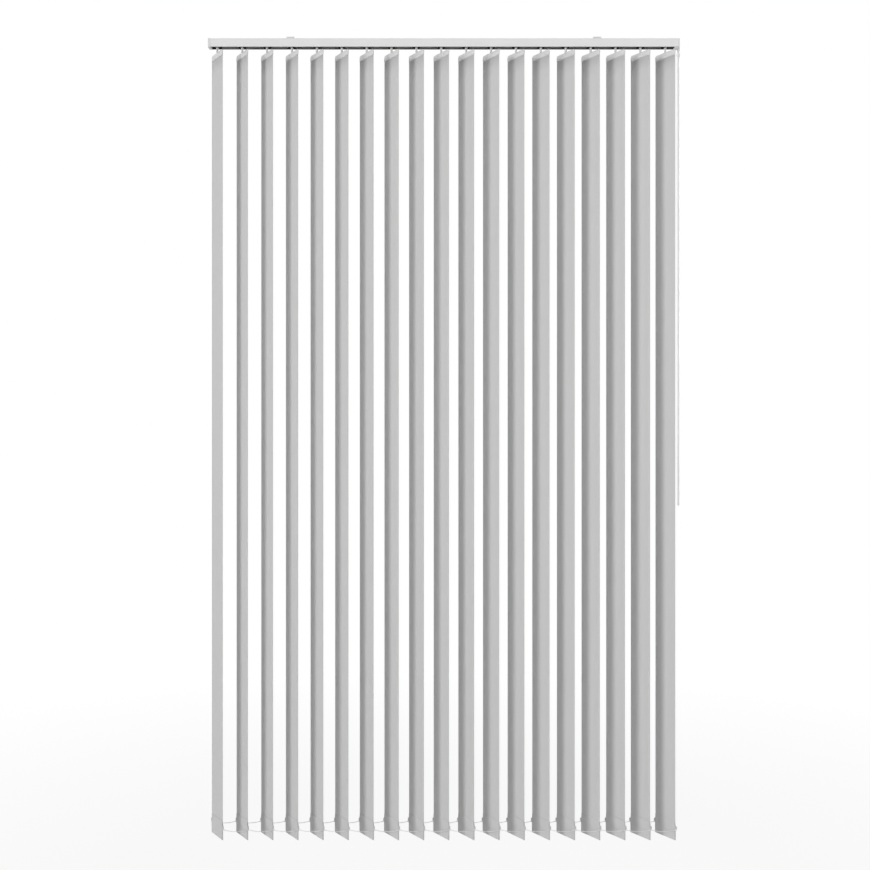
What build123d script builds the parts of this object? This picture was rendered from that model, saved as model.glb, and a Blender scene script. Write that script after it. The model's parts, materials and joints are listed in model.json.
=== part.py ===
from build123d import *
from math import cos, pi, radians, sin, sqrt
import os

# Vertical blind, drawn and tilted by one wand. Millimetres, Z up.
# X runs along the headrail, -Y faces the room, and Z = 0 is the ceiling.
# The origin is midway between the two ceiling screws.

# Vanes, their spacing and their angle at rest
VANE_COUNT = 19
FIRST_VANE_MARGIN = 27.5
LAST_VANE_MARGIN = 43.3
VANE_ANGLE = 57.6
VANE_WIDTH = 89.0
VANE_DROP = 2500.0
HANGER_GAP = 14.0

# Headrail: an aluminium channel, open below, with a T-slot in its roof
BLIND_LENGTH = 1500.0
RAIL_DEPTH = 28.0
RAIL_HEIGHT = 27.5
RAIL_WALL = 1.3
RAIL_CORNER = 2.0
SLOT_WIDTH = 17.0
TEE_MOUTH = 12.0
TEE_WIDTH = 18.0
TEE_DEPTH = 2.3
TEE_WALL = 1.2

# End caps and ceiling clips
CAP_LEFT = 8.0
CAP_RIGHT = 5.0
CAP_PROUD = 0.3
SPIGOT_DEPTH = 3.0
SPIGOT_WALL = 1.6
CAP_SKIN = 1.5
CLIP_LENGTH = 25.0
CLIP_WIDTH = 22.0
CLIP_HEIGHT = 6.0
CLIP_INSET = 262.0
CLIP_EDGE = 1.0
SCREW_RADIUS = 2.25

# Running clearances, and the sides of a moulded bore
SLIDE_CLEARANCE = 0.3
NECK_CLEARANCE = 0.5
TEE_CLEARANCE = 0.15
TURN_CLEARANCE = 0.1
PIN_CLEARANCE = 0.05
BORE_SIDES = 8

# Carriers, tilt rod and worm drive
CARRIER_LENGTH = 21.4
ROD_SIDE = 3.6
ROD_FROM_STEM = 8.0
ROD_DROP = 14.0
WORM_RADIUS = 3.1
WORM_BORE = 2.6
WHEEL_RADIUS = 4.6
WHEEL_ROOT = 3.8
WHEEL_TEETH = 8
WHEEL_HEIGHT = 6.0
STEM_RADIUS = 3.5
SPACER_LANES = 5
SPACER_LANE = 1.1
SPACER_THICKNESS = 0.5
SPACER_HEIGHT = 4.4
SPACER_FOOT = 8.0
SPACER_OVERHANG = 4.0

# Hook and hanger at the top of each vane
HANGER_WIDTH = 90.5
HANGER_HEIGHT = 17.5
HANGER_THICKNESS = 1.8
HANGER_CORNER = 4.5
HOOK_WIDTH = 5.2
HOOK_TONGUE = 1.2
HOOK_LENGTH = 11.0
HOOK_BAR_WIDTH = 4.6
HOOK_BAR_HEIGHT = 2.6
HOOK_BAR_DROP = 6.5

# Fabric, bottom pocket and weight
FABRIC_THICKNESS = 0.6
POCKET_THICKNESS = 3.0
POCKET_TAPER = 3.0
WEIGHT_THICKNESS = 1.8
WEIGHT_PROUD = 1.5
WEIGHT_CLEARANCE = 0.05
EAR_REACH = 7.0
EAR_HEIGHT = 13.0
EAR_TIP = 6.0
EAR_CENTRE = 41.0

# Spacer chains that link the weights
CHAIN_SIZE = 1.6
CHAIN_SAG = 8.5
CHAIN_GAP = 0.3
CHAIN_RUNS = 3

# Lead carrier with the arm that holds the wand
LEAD_LENGTH = 24.0
ARM_WIDTH = 8.0
ARM_REACH = 50.0
ARM_DEPTH = 5.5
ARM_DROP = 10.0
FORK_GAP = 5.2
EYE_RADIUS = 3.5
PIVOT_DROP = 12.0
LINK_LENGTH = 8.5
LINK_WIDTH = 4.6
LINK_DEPTH = 5.2
LINK_BEVEL = 1.0
PIN_RADIUS = 1.2
YOKE_RADIUS = 5.0
YOKE_EAR = 1.5
YOKE_HEIGHT = 8.2

# Wand
WAND_LENGTH = 1414.0
GRIP_LENGTH = 146.0
WAND_RADIUS = 3.7
GRIP_RADIUS = 4.0
SWIVEL_RADIUS = 1.6
SWIVEL_HEAD = 2.4
SWIVEL_HEAD_HEIGHT = 1.6
GRIP_SOCKET = 12.0
GRIP_BEVEL = 1.5

# Spacing, levels and stations worked out from the sizes above
VANE_PITCH = (BLIND_LENGTH - FIRST_VANE_MARGIN - LAST_VANE_MARGIN) / (VANE_COUNT - 1)
CLIP_SPACING = BLIND_LENGTH - 2 * CLIP_INSET
RAIL_TOP = -CLIP_HEIGHT
RAIL_BOTTOM = RAIL_TOP - RAIL_HEIGHT
LEDGE = RAIL_BOTTOM + RAIL_WALL
ROOF = RAIL_TOP - TEE_DEPTH - 2 * TEE_WALL
INNER_HALF = RAIL_DEPTH / 2 - RAIL_WALL
RAIL_START = -BLIND_LENGTH / 2 + CAP_LEFT
RAIL_END = BLIND_LENGTH / 2 - CAP_RIGHT
FIRST_VANE = -BLIND_LENGTH / 2 + FIRST_VANE_MARGIN
CARRIER_HALF = INNER_HALF - SLIDE_CLEARANCE
CARRIER_BOTTOM = LEDGE + SLIDE_CLEARANCE
CARRIER_TOP = ROOF - SLIDE_CLEARANCE
NECK_HALF = SLOT_WIDTH / 2 - NECK_CLEARANCE
ROD_LEVEL = RAIL_TOP - ROD_DROP
WHEEL_BOTTOM = ROD_LEVEL - WHEEL_HEIGHT / 2
WHEEL_FLOOR = WHEEL_BOTTOM - SLIDE_CLEARANCE
SPACER_TOP = CARRIER_TOP - SLIDE_CLEARANCE
SPACER_BOTTOM = SPACER_TOP - SPACER_HEIGHT
SPACER_FLOOR = SPACER_BOTTOM - SPACER_THICKNESS
SPACER_SIDE = -CARRIER_HALF + 1.0
HANGER_TOP = RAIL_BOTTOM - HANGER_GAP
FABRIC_TOP = HANGER_TOP - HANGER_HEIGHT
VANE_BOTTOM = HANGER_TOP - VANE_DROP
EAR_LEVEL = VANE_BOTTOM + EAR_CENTRE
WEIGHT_BOTTOM = VANE_BOTTOM + 2 * FABRIC_THICKNESS + WEIGHT_CLEARANCE
WEIGHT_TOP = EAR_LEVEL + EAR_HEIGHT / 2
LEAD_START = FIRST_VANE + (VANE_COUNT - 1) * VANE_PITCH + CARRIER_LENGTH / 2
LEAD_END = LEAD_START + LEAD_LENGTH
WAND_X = LEAD_END - ARM_WIDTH / 2
WAND_Y = -ARM_REACH
ARM_BOTTOM = RAIL_BOTTOM - ARM_DROP - ARM_DEPTH
UPPER_PIVOT = RAIL_BOTTOM - ARM_DROP - PIVOT_DROP
LOWER_PIVOT = UPPER_PIVOT - LINK_LENGTH
YOKE_TOP = LOWER_PIVOT - EYE_RADIUS
YOKE_BOTTOM = YOKE_TOP - YOKE_HEIGHT
WAND_TOP = YOKE_BOTTOM - SLIDE_CLEARANCE
SWIVEL_NECK_TOP = WAND_TOP + YOKE_HEIGHT / 3
GRIP_TOP = WAND_TOP - WAND_LENGTH + GRIP_LENGTH


def station(number):
    """X of a vane's stem, the first being number 1."""
    return FIRST_VANE + (number - 1) * VANE_PITCH


def block(x, y, z):
    """A box between two X, two Y and two Z values."""
    size = (x[1] - x[0], y[1] - y[0], z[1] - z[0])
    return Pos(x[0], y[0], z[0]) * Box(*size, align=(Align.MIN, Align.MIN, Align.MIN))


def along_x(face, start, end):
    """Extrude a face drawn in Y and Z from one X to another."""
    return extrude(Plane.YZ.offset(start) * face, amount=end - start, dir=(1, 0, 0))


def rod_z(radius, x, y, bottom, top):
    """A round bar along Z."""
    bar = Cylinder(radius, top - bottom, align=(Align.CENTER, Align.CENTER, Align.MIN))
    return Pos(x, y, bottom) * bar


def span(low, high, left, right):
    """A rectangle between two levels and two sides, drawn in Y and Z."""
    return Pos((left + right) / 2, (low + high) / 2) * Rectangle(right - left, high - low)


def flats(radius):
    """An eight-sided moulded outline whose flats lie at this radius."""
    return RegularPolygon(radius, BORE_SIDES, rotation=180 / BORE_SIDES, major_radius=False)


def corners(radius):
    """An eight-sided outline for a piece that turns in a bore, its corners at this radius."""
    return RegularPolygon(radius, BORE_SIDES, rotation=180 / BORE_SIDES)


def headrail():
    """The channel: side walls, a slot between two ledges, and the T-slot in the roof."""
    middle = (RAIL_TOP + RAIL_BOTTOM) / 2
    tee_top = RAIL_TOP - TEE_WALL
    tee_bottom = tee_top - TEE_DEPTH
    tee_half = TEE_WIDTH / 2
    face = Pos(0, middle) * RectangleRounded(RAIL_DEPTH, RAIL_HEIGHT, RAIL_CORNER)
    hollow = span(LEDGE, tee_top, -INNER_HALF, INNER_HALF)
    hollow -= span(ROOF, tee_top, -tee_half - TEE_WALL, tee_half + TEE_WALL)
    face -= hollow
    face -= span(RAIL_BOTTOM, LEDGE, -SLOT_WIDTH / 2, SLOT_WIDTH / 2)
    face -= span(tee_bottom, tee_top, -tee_half, tee_half)
    face -= span(tee_top, RAIL_TOP, -TEE_MOUTH / 2, TEE_MOUTH / 2)
    return along_x(face, RAIL_START, RAIL_END)


def end_cap(inner, thickness, outward):
    """A moulded cap: a plate over the rail's end, a hollow spigot and the tilt rod's bearing."""
    middle = (RAIL_TOP + RAIL_BOTTOM) / 2
    depth = RAIL_DEPTH + 2 * CAP_PROUD
    height = RAIL_HEIGHT + 2 * CAP_PROUD
    plate = Pos(0, middle) * RectangleRounded(depth, height, RAIL_CORNER + CAP_PROUD)
    outer = span(CARRIER_BOTTOM, CARRIER_TOP, -CARRIER_HALF, CARRIER_HALF)
    hollow = span(
        CARRIER_BOTTOM + SPIGOT_WALL,
        CARRIER_TOP - SPIGOT_WALL,
        SPIGOT_WALL - CARRIER_HALF,
        CARRIER_HALF - SPIGOT_WALL,
    )
    reach = WORM_RADIUS + SPIGOT_WALL / 2
    boss = span(ROD_LEVEL - reach, ROD_LEVEL + reach, ROD_FROM_STEM - reach, ROD_FROM_STEM + reach)
    ends = sorted((inner, inner + outward * thickness))
    cap = along_x(plate, *ends)
    ends = sorted((inner, inner - outward * SPIGOT_DEPTH))
    cap += along_x(outer - hollow + boss, *ends)
    ends = sorted((inner - outward * SPIGOT_DEPTH, inner + outward * (thickness - CAP_SKIN)))
    return cap - along_x(Pos(ROD_FROM_STEM, ROD_LEVEL) * flats(WORM_BORE), *ends)


def ceiling_clip(x):
    """A slide-in clip: pad under the ceiling, neck through the roof's mouth and foot in the T-slot."""
    tee_top = RAIL_TOP - TEE_WALL
    half = TEE_WIDTH / 2 - TEE_CLEARANCE
    foot = span(tee_top - TEE_DEPTH + TEE_CLEARANCE, tee_top - TEE_CLEARANCE, -half, half)
    half = TEE_MOUTH / 2 - TEE_CLEARANCE
    neck = span(tee_top - TEE_CLEARANCE, RAIL_TOP, -half, half)
    clip = along_x(foot + neck, x - CLIP_LENGTH / 2, x + CLIP_LENGTH / 2)
    half = CLIP_WIDTH / 2
    clip += block((x - CLIP_LENGTH / 2, x + CLIP_LENGTH / 2), (-half, half), (RAIL_TOP, 0))
    clip = chamfer(clip.faces().sort_by(Axis.Z)[-1].edges(), CLIP_EDGE)
    return clip - rod_z(SCREW_RADIUS, x, 0, RAIL_TOP - RAIL_HEIGHT, 0)


def carrier_face():
    """A carrier seen along the rail: neck in the slot, shoulders on the ledges, spacer trough above."""
    face = span(CARRIER_BOTTOM, CARRIER_TOP, -CARRIER_HALF, CARRIER_HALF)
    face += span(RAIL_BOTTOM + SLIDE_CLEARANCE, CARRIER_BOTTOM, -NECK_HALF, NECK_HALF)
    lanes = SPACER_SIDE + SPACER_LANES * SPACER_LANE
    return face - span(SPACER_FLOOR, CARRIER_TOP, SPACER_SIDE, lanes)


def spacer(number):
    """The thin strip that limits how far the next carrier can follow, in one of five lanes."""
    x = station(number)
    y = SPACER_SIDE + (number % SPACER_LANES + 0.5) * SPACER_LANE
    side = (y - SPACER_THICKNESS / 2, y + SPACER_THICKNESS / 2)
    foot = (x - SPACER_FOOT / 2, x + SPACER_FOOT / 2)
    strip = block((foot[0], x + VANE_PITCH + SPACER_OVERHANG), side, (SPACER_BOTTOM, SPACER_TOP))
    return strip + block(foot, side, (SPACER_FLOOR, SPACER_BOTTOM))


def carrier(number):
    """Housing with its worm beside the wheel's chamber and, towards the next carrier, a spacer."""
    x = station(number)
    body = along_x(carrier_face(), x - CARRIER_LENGTH / 2, x + CARRIER_LENGTH / 2)
    room = WHEEL_RADIUS + SLIDE_CLEARANCE
    side = ROD_FROM_STEM + WORM_RADIUS + PIN_CLEARANCE
    body -= block((x - room, x + room), (-room, side), (WHEEL_FLOOR, CARRIER_TOP))
    axle = Pos(ROD_FROM_STEM, ROD_LEVEL)
    body += along_x(axle * flats(WORM_RADIUS), x - room, x + room)
    body -= along_x(axle * flats(WORM_BORE), x - CARRIER_LENGTH / 2, x + CARRIER_LENGTH / 2)
    bore = Pos(x, 0, RAIL_BOTTOM) * flats(STEM_RADIUS + TURN_CLEARANCE)
    body -= extrude(bore, amount=WHEEL_FLOOR - RAIL_BOTTOM)
    return [body, spacer(number)] if number < VANE_COUNT else [body]


def hook():
    """Worm wheel, stem and a flat tongue behind the hanger, with the bar that it hangs on."""
    outline = []
    for tooth in range(WHEEL_TEETH):
        for step, radius in ((0.0, WHEEL_RADIUS), (0.5, WHEEL_ROOT)):
            turn = 2 * pi * (tooth + step) / WHEEL_TEETH
            outline.append((radius * cos(turn), radius * sin(turn)))
    wheel = Pos(0, 0, WHEEL_BOTTOM) * extrude(Polygon(*outline, align=None), amount=WHEEL_HEIGHT)
    stem = rod_z(STEM_RADIUS, 0, 0, HANGER_TOP, WHEEL_BOTTOM)
    half = HANGER_THICKNESS / 2
    width = (-HOOK_WIDTH / 2, HOOK_WIDTH / 2)
    tongue = block(width, (half, half + HOOK_TONGUE), (HANGER_TOP - HOOK_LENGTH, HANGER_TOP))
    level = HANGER_TOP - HOOK_BAR_DROP
    bar = block((-HOOK_BAR_WIDTH / 2, HOOK_BAR_WIDTH / 2), (-half, half), (level - HOOK_BAR_HEIGHT, level))
    return wheel + stem + tongue + bar


def hanger():
    """The stiff plastic holder at the top of the vane, with the window for the hook's bar."""
    half = HANGER_WIDTH / 2
    corner = HANGER_CORNER
    face = Polygon(
        (-half, FABRIC_TOP),
        (half, FABRIC_TOP),
        (half, HANGER_TOP - corner),
        (half - corner, HANGER_TOP),
        (corner - half, HANGER_TOP),
        (-half, HANGER_TOP - corner),
        align=None,
    )
    level = HANGER_TOP - HOOK_BAR_DROP - HOOK_BAR_HEIGHT / 2
    clear = 2 * PIN_CLEARANCE
    face -= Pos(0, level) * Rectangle(HOOK_BAR_WIDTH + clear, HOOK_BAR_HEIGHT + clear)
    return extrude(Plane.XZ * face, amount=HANGER_THICKNESS / 2, both=True)


def fabric():
    """The louvre: one sheet, folded round the weight and welded above it."""
    thin = FABRIC_THICKNESS / 2
    thick = POCKET_THICKNESS / 2
    pocket = WEIGHT_TOP + WEIGHT_CLEARANCE + FABRIC_THICKNESS
    half = [
        (thin, FABRIC_TOP),
        (thin, pocket + POCKET_TAPER),
        (thick, pocket),
        (thick, VANE_BOTTOM),
    ]
    other = [(-y, z) for y, z in reversed(half)]
    face = Polygon(*half, *other, align=None)
    inner = WEIGHT_THICKNESS / 2 + WEIGHT_CLEARANCE
    low = WEIGHT_BOTTOM - WEIGHT_CLEARANCE
    face -= span(low, WEIGHT_TOP + WEIGHT_CLEARANCE, -inner, inner)
    return along_x(face, -VANE_WIDTH / 2, VANE_WIDTH / 2)


def weight():
    """The plate in the pocket, with an ear at each end that the chains clip to."""
    half = VANE_WIDTH / 2 + WEIGHT_PROUD
    tip = VANE_WIDTH / 2 + EAR_REACH
    right = [
        (half, WEIGHT_BOTTOM),
        (half, EAR_LEVEL - EAR_HEIGHT / 2),
        (tip, EAR_LEVEL - EAR_TIP / 2),
        (tip, EAR_LEVEL + EAR_TIP / 2),
        (half, WEIGHT_TOP),
    ]
    left = [(-u, z) for u, z in reversed(right)]
    face = Polygon(*right, *left, align=None)
    return extrude(Plane.XZ * face, amount=WEIGHT_THICKNESS / 2, both=True)


def chain(side):
    """Hanging spans between the ears on one side: 1 for the room side, -1 for the window side."""
    reach = (VANE_WIDTH + WEIGHT_PROUD + EAR_REACH) / 2
    ear_x = side * reach * cos(radians(VANE_ANGLE))
    ear_y = -side * reach * sin(radians(VANE_ANGLE))
    slope = (EAR_HEIGHT - EAR_TIP) / 2 / (EAR_REACH - WEIGHT_PROUD)
    inner = reach - CHAIN_SIZE / sqrt(2) - VANE_WIDTH / 2 - WEIGHT_PROUD
    top = EAR_LEVEL - EAR_HEIGHT / 2 + slope * inner - CHAIN_GAP
    width = VANE_PITCH - CHAIN_SIZE
    upper = []
    for step in range(CHAIN_RUNS + 1):
        share = 2 * step / CHAIN_RUNS - 1
        upper.append((share * width / 2, top - CHAIN_SAG * (1 - share * share)))
    lower = [(x, z - CHAIN_SIZE) for x, z in reversed(upper)]
    strip = extrude(Plane.XZ * Polygon(*upper, *lower, align=None), amount=CHAIN_SIZE / 2, both=True)
    middles = [station(number + 0.5) + ear_x for number in range(1, VANE_COUNT)]
    return [Pos(x, ear_y, 0) * strip for x in middles]


def lead_carrier():
    """The last carrier's partner: its arm reaches out to a fork that holds the wand."""
    reach = WORM_RADIUS + PIN_CLEARANCE
    trough = span(ROD_LEVEL - reach, CARRIER_TOP, ROD_FROM_STEM - reach, ROD_FROM_STEM + reach)
    body = along_x(carrier_face() - trough, LEAD_START, LEAD_END)
    face = Polygon(
        (NECK_HALF, CARRIER_BOTTOM),
        (NECK_HALF, RAIL_BOTTOM - NECK_CLEARANCE),
        (0, RAIL_BOTTOM - ARM_DEPTH),
        (WAND_Y + EYE_RADIUS, ARM_BOTTOM),
        (WAND_Y + EYE_RADIUS, UPPER_PIVOT),
        (WAND_Y + EYE_RADIUS / 2, UPPER_PIVOT - EYE_RADIUS),
        (WAND_Y - EYE_RADIUS / 2, UPPER_PIVOT - EYE_RADIUS),
        (WAND_Y - EYE_RADIUS, UPPER_PIVOT),
        (WAND_Y - EYE_RADIUS, RAIL_BOTTOM - ARM_DROP),
        (-RAIL_DEPTH / 2, RAIL_BOTTOM - 2 * NECK_CLEARANCE),
        (-NECK_HALF, RAIL_BOTTOM - 2 * NECK_CLEARANCE),
        (-NECK_HALF, CARRIER_BOTTOM),
        align=None,
    )
    face -= Pos(WAND_Y, UPPER_PIVOT) * flats(PIN_RADIUS + PIN_CLEARANCE)
    body += along_x(face, LEAD_END - ARM_WIDTH, LEAD_END)
    fork = (WAND_X - FORK_GAP / 2, WAND_X + FORK_GAP / 2)
    sides = (WAND_Y - EYE_RADIUS, WAND_Y + EYE_RADIUS)
    return body - block(fork, sides, (UPPER_PIVOT - EYE_RADIUS, ARM_BOTTOM))


def drive_sleeve():
    """The sleeve in the lead carrier that takes the wand's turn to the tilt rod."""
    face = Pos(ROD_FROM_STEM, ROD_LEVEL) * (corners(WORM_RADIUS) - flats(WORM_BORE))
    return along_x(face, LEAD_START, LEAD_END)


def swing_link():
    """The short link in the arm's fork, moulded with a pin along X above and one along Y below."""
    half = LINK_WIDTH / 2
    body = block(
        (WAND_X - half, WAND_X + half),
        (WAND_Y - LINK_DEPTH / 2, WAND_Y + LINK_DEPTH / 2),
        (LOWER_PIVOT - PIN_RADIUS, UPPER_PIVOT + PIN_RADIUS),
    )
    body = chamfer(body.edges().filter_by(Axis.X) + body.edges().filter_by(Axis.Y), LINK_BEVEL)
    pin = Pos(WAND_Y, UPPER_PIVOT) * Circle(PIN_RADIUS)
    body += along_x(pin, WAND_X - ARM_WIDTH / 2, WAND_X + ARM_WIDTH / 2)
    pin = Plane.XZ.offset(-WAND_Y) * Pos(WAND_X, LOWER_PIVOT) * Circle(PIN_RADIUS)
    return body + extrude(pin, amount=LINK_DEPTH / 2 + SLIDE_CLEARANCE + YOKE_EAR, both=True)


def wand_yoke():
    """The clevis on the link, with the swivel socket for the wand below it."""
    inner = LINK_DEPTH / 2 + SLIDE_CLEARANCE
    reach = inner + YOKE_EAR
    half = EYE_RADIUS - SLIDE_CLEARANCE
    ears = Polygon(
        (WAND_X - half, YOKE_BOTTOM),
        (WAND_X + half, YOKE_BOTTOM),
        (WAND_X + half, LOWER_PIVOT),
        (WAND_X + half / 2, LOWER_PIVOT + half),
        (WAND_X - half / 2, LOWER_PIVOT + half),
        (WAND_X - half, LOWER_PIVOT),
        align=None,
    )
    ears -= Pos(WAND_X, LOWER_PIVOT) * flats(PIN_RADIUS + PIN_CLEARANCE)
    body = extrude(Plane.XZ.offset(-WAND_Y) * ears, amount=reach, both=True)
    body -= block((WAND_X - half, WAND_X + half), (WAND_Y - inner, WAND_Y + inner), (YOKE_TOP, UPPER_PIVOT))
    hub = Pos(WAND_X, WAND_Y, YOKE_BOTTOM)
    body += hub * extrude(flats(YOKE_RADIUS), amount=YOKE_TOP - YOKE_BOTTOM)
    neck = SWIVEL_NECK_TOP - TURN_CLEARANCE - YOKE_BOTTOM
    body -= hub * extrude(flats(SWIVEL_RADIUS + TURN_CLEARANCE), amount=neck)
    room = SWIVEL_HEAD_HEIGHT + 2 * TURN_CLEARANCE
    return body - hub * Pos(0, 0, neck) * extrude(flats(SWIVEL_HEAD + TURN_CLEARANCE), amount=room)


def wand_rod():
    """The long rod, with the swivel at its top and a spigot for the grip."""
    body = rod_z(WAND_RADIUS, WAND_X, WAND_Y, GRIP_TOP, WAND_TOP)
    axis = Pos(WAND_X, WAND_Y, 0)
    body += axis * Pos(0, 0, WAND_TOP) * extrude(corners(SWIVEL_RADIUS), amount=SWIVEL_NECK_TOP - WAND_TOP)
    body += axis * Pos(0, 0, SWIVEL_NECK_TOP) * extrude(corners(SWIVEL_HEAD), amount=SWIVEL_HEAD_HEIGHT)
    return body + axis * Pos(0, 0, GRIP_TOP) * extrude(flats(SWIVEL_HEAD), amount=-GRIP_SOCKET)


def wand_grip():
    """The moulded grip at the bottom, bevelled at its lower end."""
    body = rod_z(GRIP_RADIUS, WAND_X, WAND_Y, GRIP_TOP - GRIP_LENGTH, GRIP_TOP)
    body = chamfer(body.faces().sort_by(Axis.Z)[0].edges(), GRIP_BEVEL)
    socket = extrude(flats(SWIVEL_HEAD), amount=-GRIP_SOCKET)
    return body - Pos(WAND_X, WAND_Y, GRIP_TOP) * socket


def tilt_rod():
    """The square rod that turns every worm."""
    face = Pos(ROD_FROM_STEM, ROD_LEVEL) * Rectangle(ROD_SIDE, ROD_SIDE)
    return along_x(face, RAIL_START - CAP_LEFT / 2, RAIL_END + CAP_RIGHT / 2)


def parts():
    """Every node's name and its solids."""
    nodes = {
        "headrail": [headrail()],
        "end_cap_left": [end_cap(RAIL_START, CAP_LEFT, -1)],
        "end_cap_right": [end_cap(RAIL_END, CAP_RIGHT, 1)],
        "ceiling_clips": [ceiling_clip(-CLIP_SPACING / 2), ceiling_clip(CLIP_SPACING / 2)],
        "tilt_rod": [tilt_rod()],
        "lead_carrier": [lead_carrier()],
        "drive_sleeve": [drive_sleeve()],
        "swing_link": [swing_link()],
        "wand_yoke": [wand_yoke()],
        "wand_rod": [wand_rod()],
        "wand_grip": [wand_grip()],
        "front_chain": chain(1),
        "back_chain": chain(-1),
    }
    louvre = [hook(), hanger(), fabric(), weight()]
    for number in range(1, VANE_COUNT + 1):
        place = Pos(station(number), 0, 0) * Rot(0, 0, -VANE_ANGLE)
        nodes[f"carrier_{number:02d}"] = carrier(number)
        nodes[f"vane_{number:02d}"] = [place * piece for piece in louvre]
    return nodes


os.makedirs("parts", exist_ok=True)
for name, solids in parts().items():
    shape = solids[0] if len(solids) == 1 else Compound(children=list(solids))
    export_step(shape, f"parts/{name}.step")
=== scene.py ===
# %% [markdown]
# A vertical blind is a headrail with a row of tall louvres under it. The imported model
# already holds every rigid piece at its real place, so this lesson only dresses it:
# woven cloth, moulded plastic, painted aluminium and bead chain. Loading the frame
# comes first, because every size below is read from it or tied to it.

# %% Load the frame
import json
import bmesh
import bpy
from math import cos, hypot, pi, radians, sin
from mathutils import Matrix, Vector

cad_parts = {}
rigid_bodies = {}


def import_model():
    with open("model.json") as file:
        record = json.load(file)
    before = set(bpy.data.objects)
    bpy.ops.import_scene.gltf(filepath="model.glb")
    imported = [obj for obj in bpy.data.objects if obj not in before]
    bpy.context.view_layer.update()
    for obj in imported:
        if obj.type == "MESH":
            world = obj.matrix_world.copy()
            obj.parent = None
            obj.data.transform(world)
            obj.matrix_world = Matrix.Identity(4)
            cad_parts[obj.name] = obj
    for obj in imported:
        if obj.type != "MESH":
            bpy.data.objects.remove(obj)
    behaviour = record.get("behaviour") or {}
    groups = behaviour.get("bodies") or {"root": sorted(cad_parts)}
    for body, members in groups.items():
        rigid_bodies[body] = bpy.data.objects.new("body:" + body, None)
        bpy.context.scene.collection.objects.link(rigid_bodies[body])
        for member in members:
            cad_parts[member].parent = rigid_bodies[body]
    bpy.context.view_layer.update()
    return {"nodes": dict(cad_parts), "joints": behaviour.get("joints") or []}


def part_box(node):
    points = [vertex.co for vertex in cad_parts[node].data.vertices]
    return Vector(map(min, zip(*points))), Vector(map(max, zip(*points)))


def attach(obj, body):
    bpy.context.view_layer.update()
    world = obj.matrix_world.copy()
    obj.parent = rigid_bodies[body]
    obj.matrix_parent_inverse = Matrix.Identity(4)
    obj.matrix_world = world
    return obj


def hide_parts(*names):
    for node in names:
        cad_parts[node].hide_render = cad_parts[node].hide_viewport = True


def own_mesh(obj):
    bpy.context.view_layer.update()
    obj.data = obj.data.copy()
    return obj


for default_object in list(bpy.data.objects):
    bpy.data.objects.remove(default_object)
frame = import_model()

# %% [markdown]
# The louvres turn on vertical stems, and each stem is a hinge in the model. Reading the
# hinges gives every louvre's place without a table of numbers. The cloth's own sizes
# are the maker's: an 89 mm louvre, turned 57.6 degrees from the rail.

# %% Stations and sizes
MM = 0.001
LOUVRE_ANGLE = radians(57.6)
LOUVRE_WIDTH = 89 * MM
LOUVRES = {}
for joint in frame["joints"]:
    if joint["name"].startswith("vane_") and joint["name"].endswith("_tilt"):
        LOUVRES[joint["child"]] = joint["pos_m"][0]
STATIONS = sorted(LOUVRES.values())
PITCH = STATIONS[1] - STATIONS[0]
RAIL_LOW, RAIL_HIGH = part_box("headrail")
print(len(LOUVRES), "louvres, pitch", round(PITCH / MM, 2), "mm")

# %% [markdown]
# The photograph was taken square to the blind from about 3.7 m, a little below the
# middle. The lens follows from how many pixels one pitch takes at that distance.

# %% Camera
PHOTO_SIZE = 870
FOCAL_PIXELS = 1161.5
SENSOR = 36
CAMERA_PLACE = (-0.028, -3.706, -1.2675)


def add_object(name, data):
    """A new object in the scene, at the origin."""
    added = bpy.data.objects.new(name, data)
    bpy.context.collection.objects.link(added)
    return added


camera = add_object("camera", bpy.data.cameras.new("camera"))
camera.location = CAMERA_PLACE
camera.rotation_euler = (pi / 2, 0, 0)
camera.data.sensor_width = SENSOR
camera.data.lens = FOCAL_PIXELS / PHOTO_SIZE * SENSOR
bpy.context.scene.camera = camera
bpy.context.scene.view_settings.view_transform = "Standard"
print("lens", round(camera.data.lens, 2), "mm")

# %% [markdown]
# The studio, the finishes and the repeated pieces are all trees of nodes. A node can be
# made, set and linked in lines of its own, but those three steps come back for every
# node below. One helper does them all, and any value may be another node's output.

# %% Nodes


def put(tree, kind, values=None, **settings):
    """A node with its settings and input values; a value may be another node's socket."""
    node = tree.nodes.new(kind)
    for name, value in settings.items():
        setattr(node, name, value)
    for name, value in (values or {}).items():
        if isinstance(value, bpy.types.NodeSocket):
            tree.links.new(value, node.inputs[name])
        else:
            node.inputs[name].default_value = value
    return node


def reckon(tree, operation, first, second=0.0):
    """The result of a math node."""
    return put(tree, "ShaderNodeMath", {0: first, 1: second}, operation=operation).outputs[0]


def shader(name, grey, roughness, **sockets):
    """A principled material with its plain values set, its tree and its surface node."""
    mat = bpy.data.materials.new(name)
    mat.use_nodes = True
    surface = mat.node_tree.nodes["Principled BSDF"]
    surface.inputs["Base Color"].default_value = (grey, grey, grey, 1)
    surface.inputs["Roughness"].default_value = roughness
    for socket, value in sockets.items():
        surface.inputs[socket.replace("_", " ")].default_value = value
    return mat, mat.node_tree, surface


# %% [markdown]
# The blind hangs in an empty white studio. The floor is a plain pale sheet that still
# takes a faint shadow, and the world is white only for the camera and for reflections,
# so the white background adds no light of its own.

# %% Floor and backdrop
WHITE = (1, 1, 1, 1)
FLOOR_GREY = 0.85
FLOOR_LEVEL = -2.75
FLOOR_REACH = 14
SHADOW_SHARE = 0.12
FADE_START = 1.2
FADE_END = 3.5


def background_rays(tree):
    """A factor that is 1 where the camera, a reflection or a transmission looks."""
    path = put(tree, "ShaderNodeLightPath").outputs
    seen = reckon(tree, "MAXIMUM", path["Is Camera Ray"], path["Is Glossy Ray"])
    return reckon(tree, "MAXIMUM", seen, path["Is Transmission Ray"])


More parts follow.
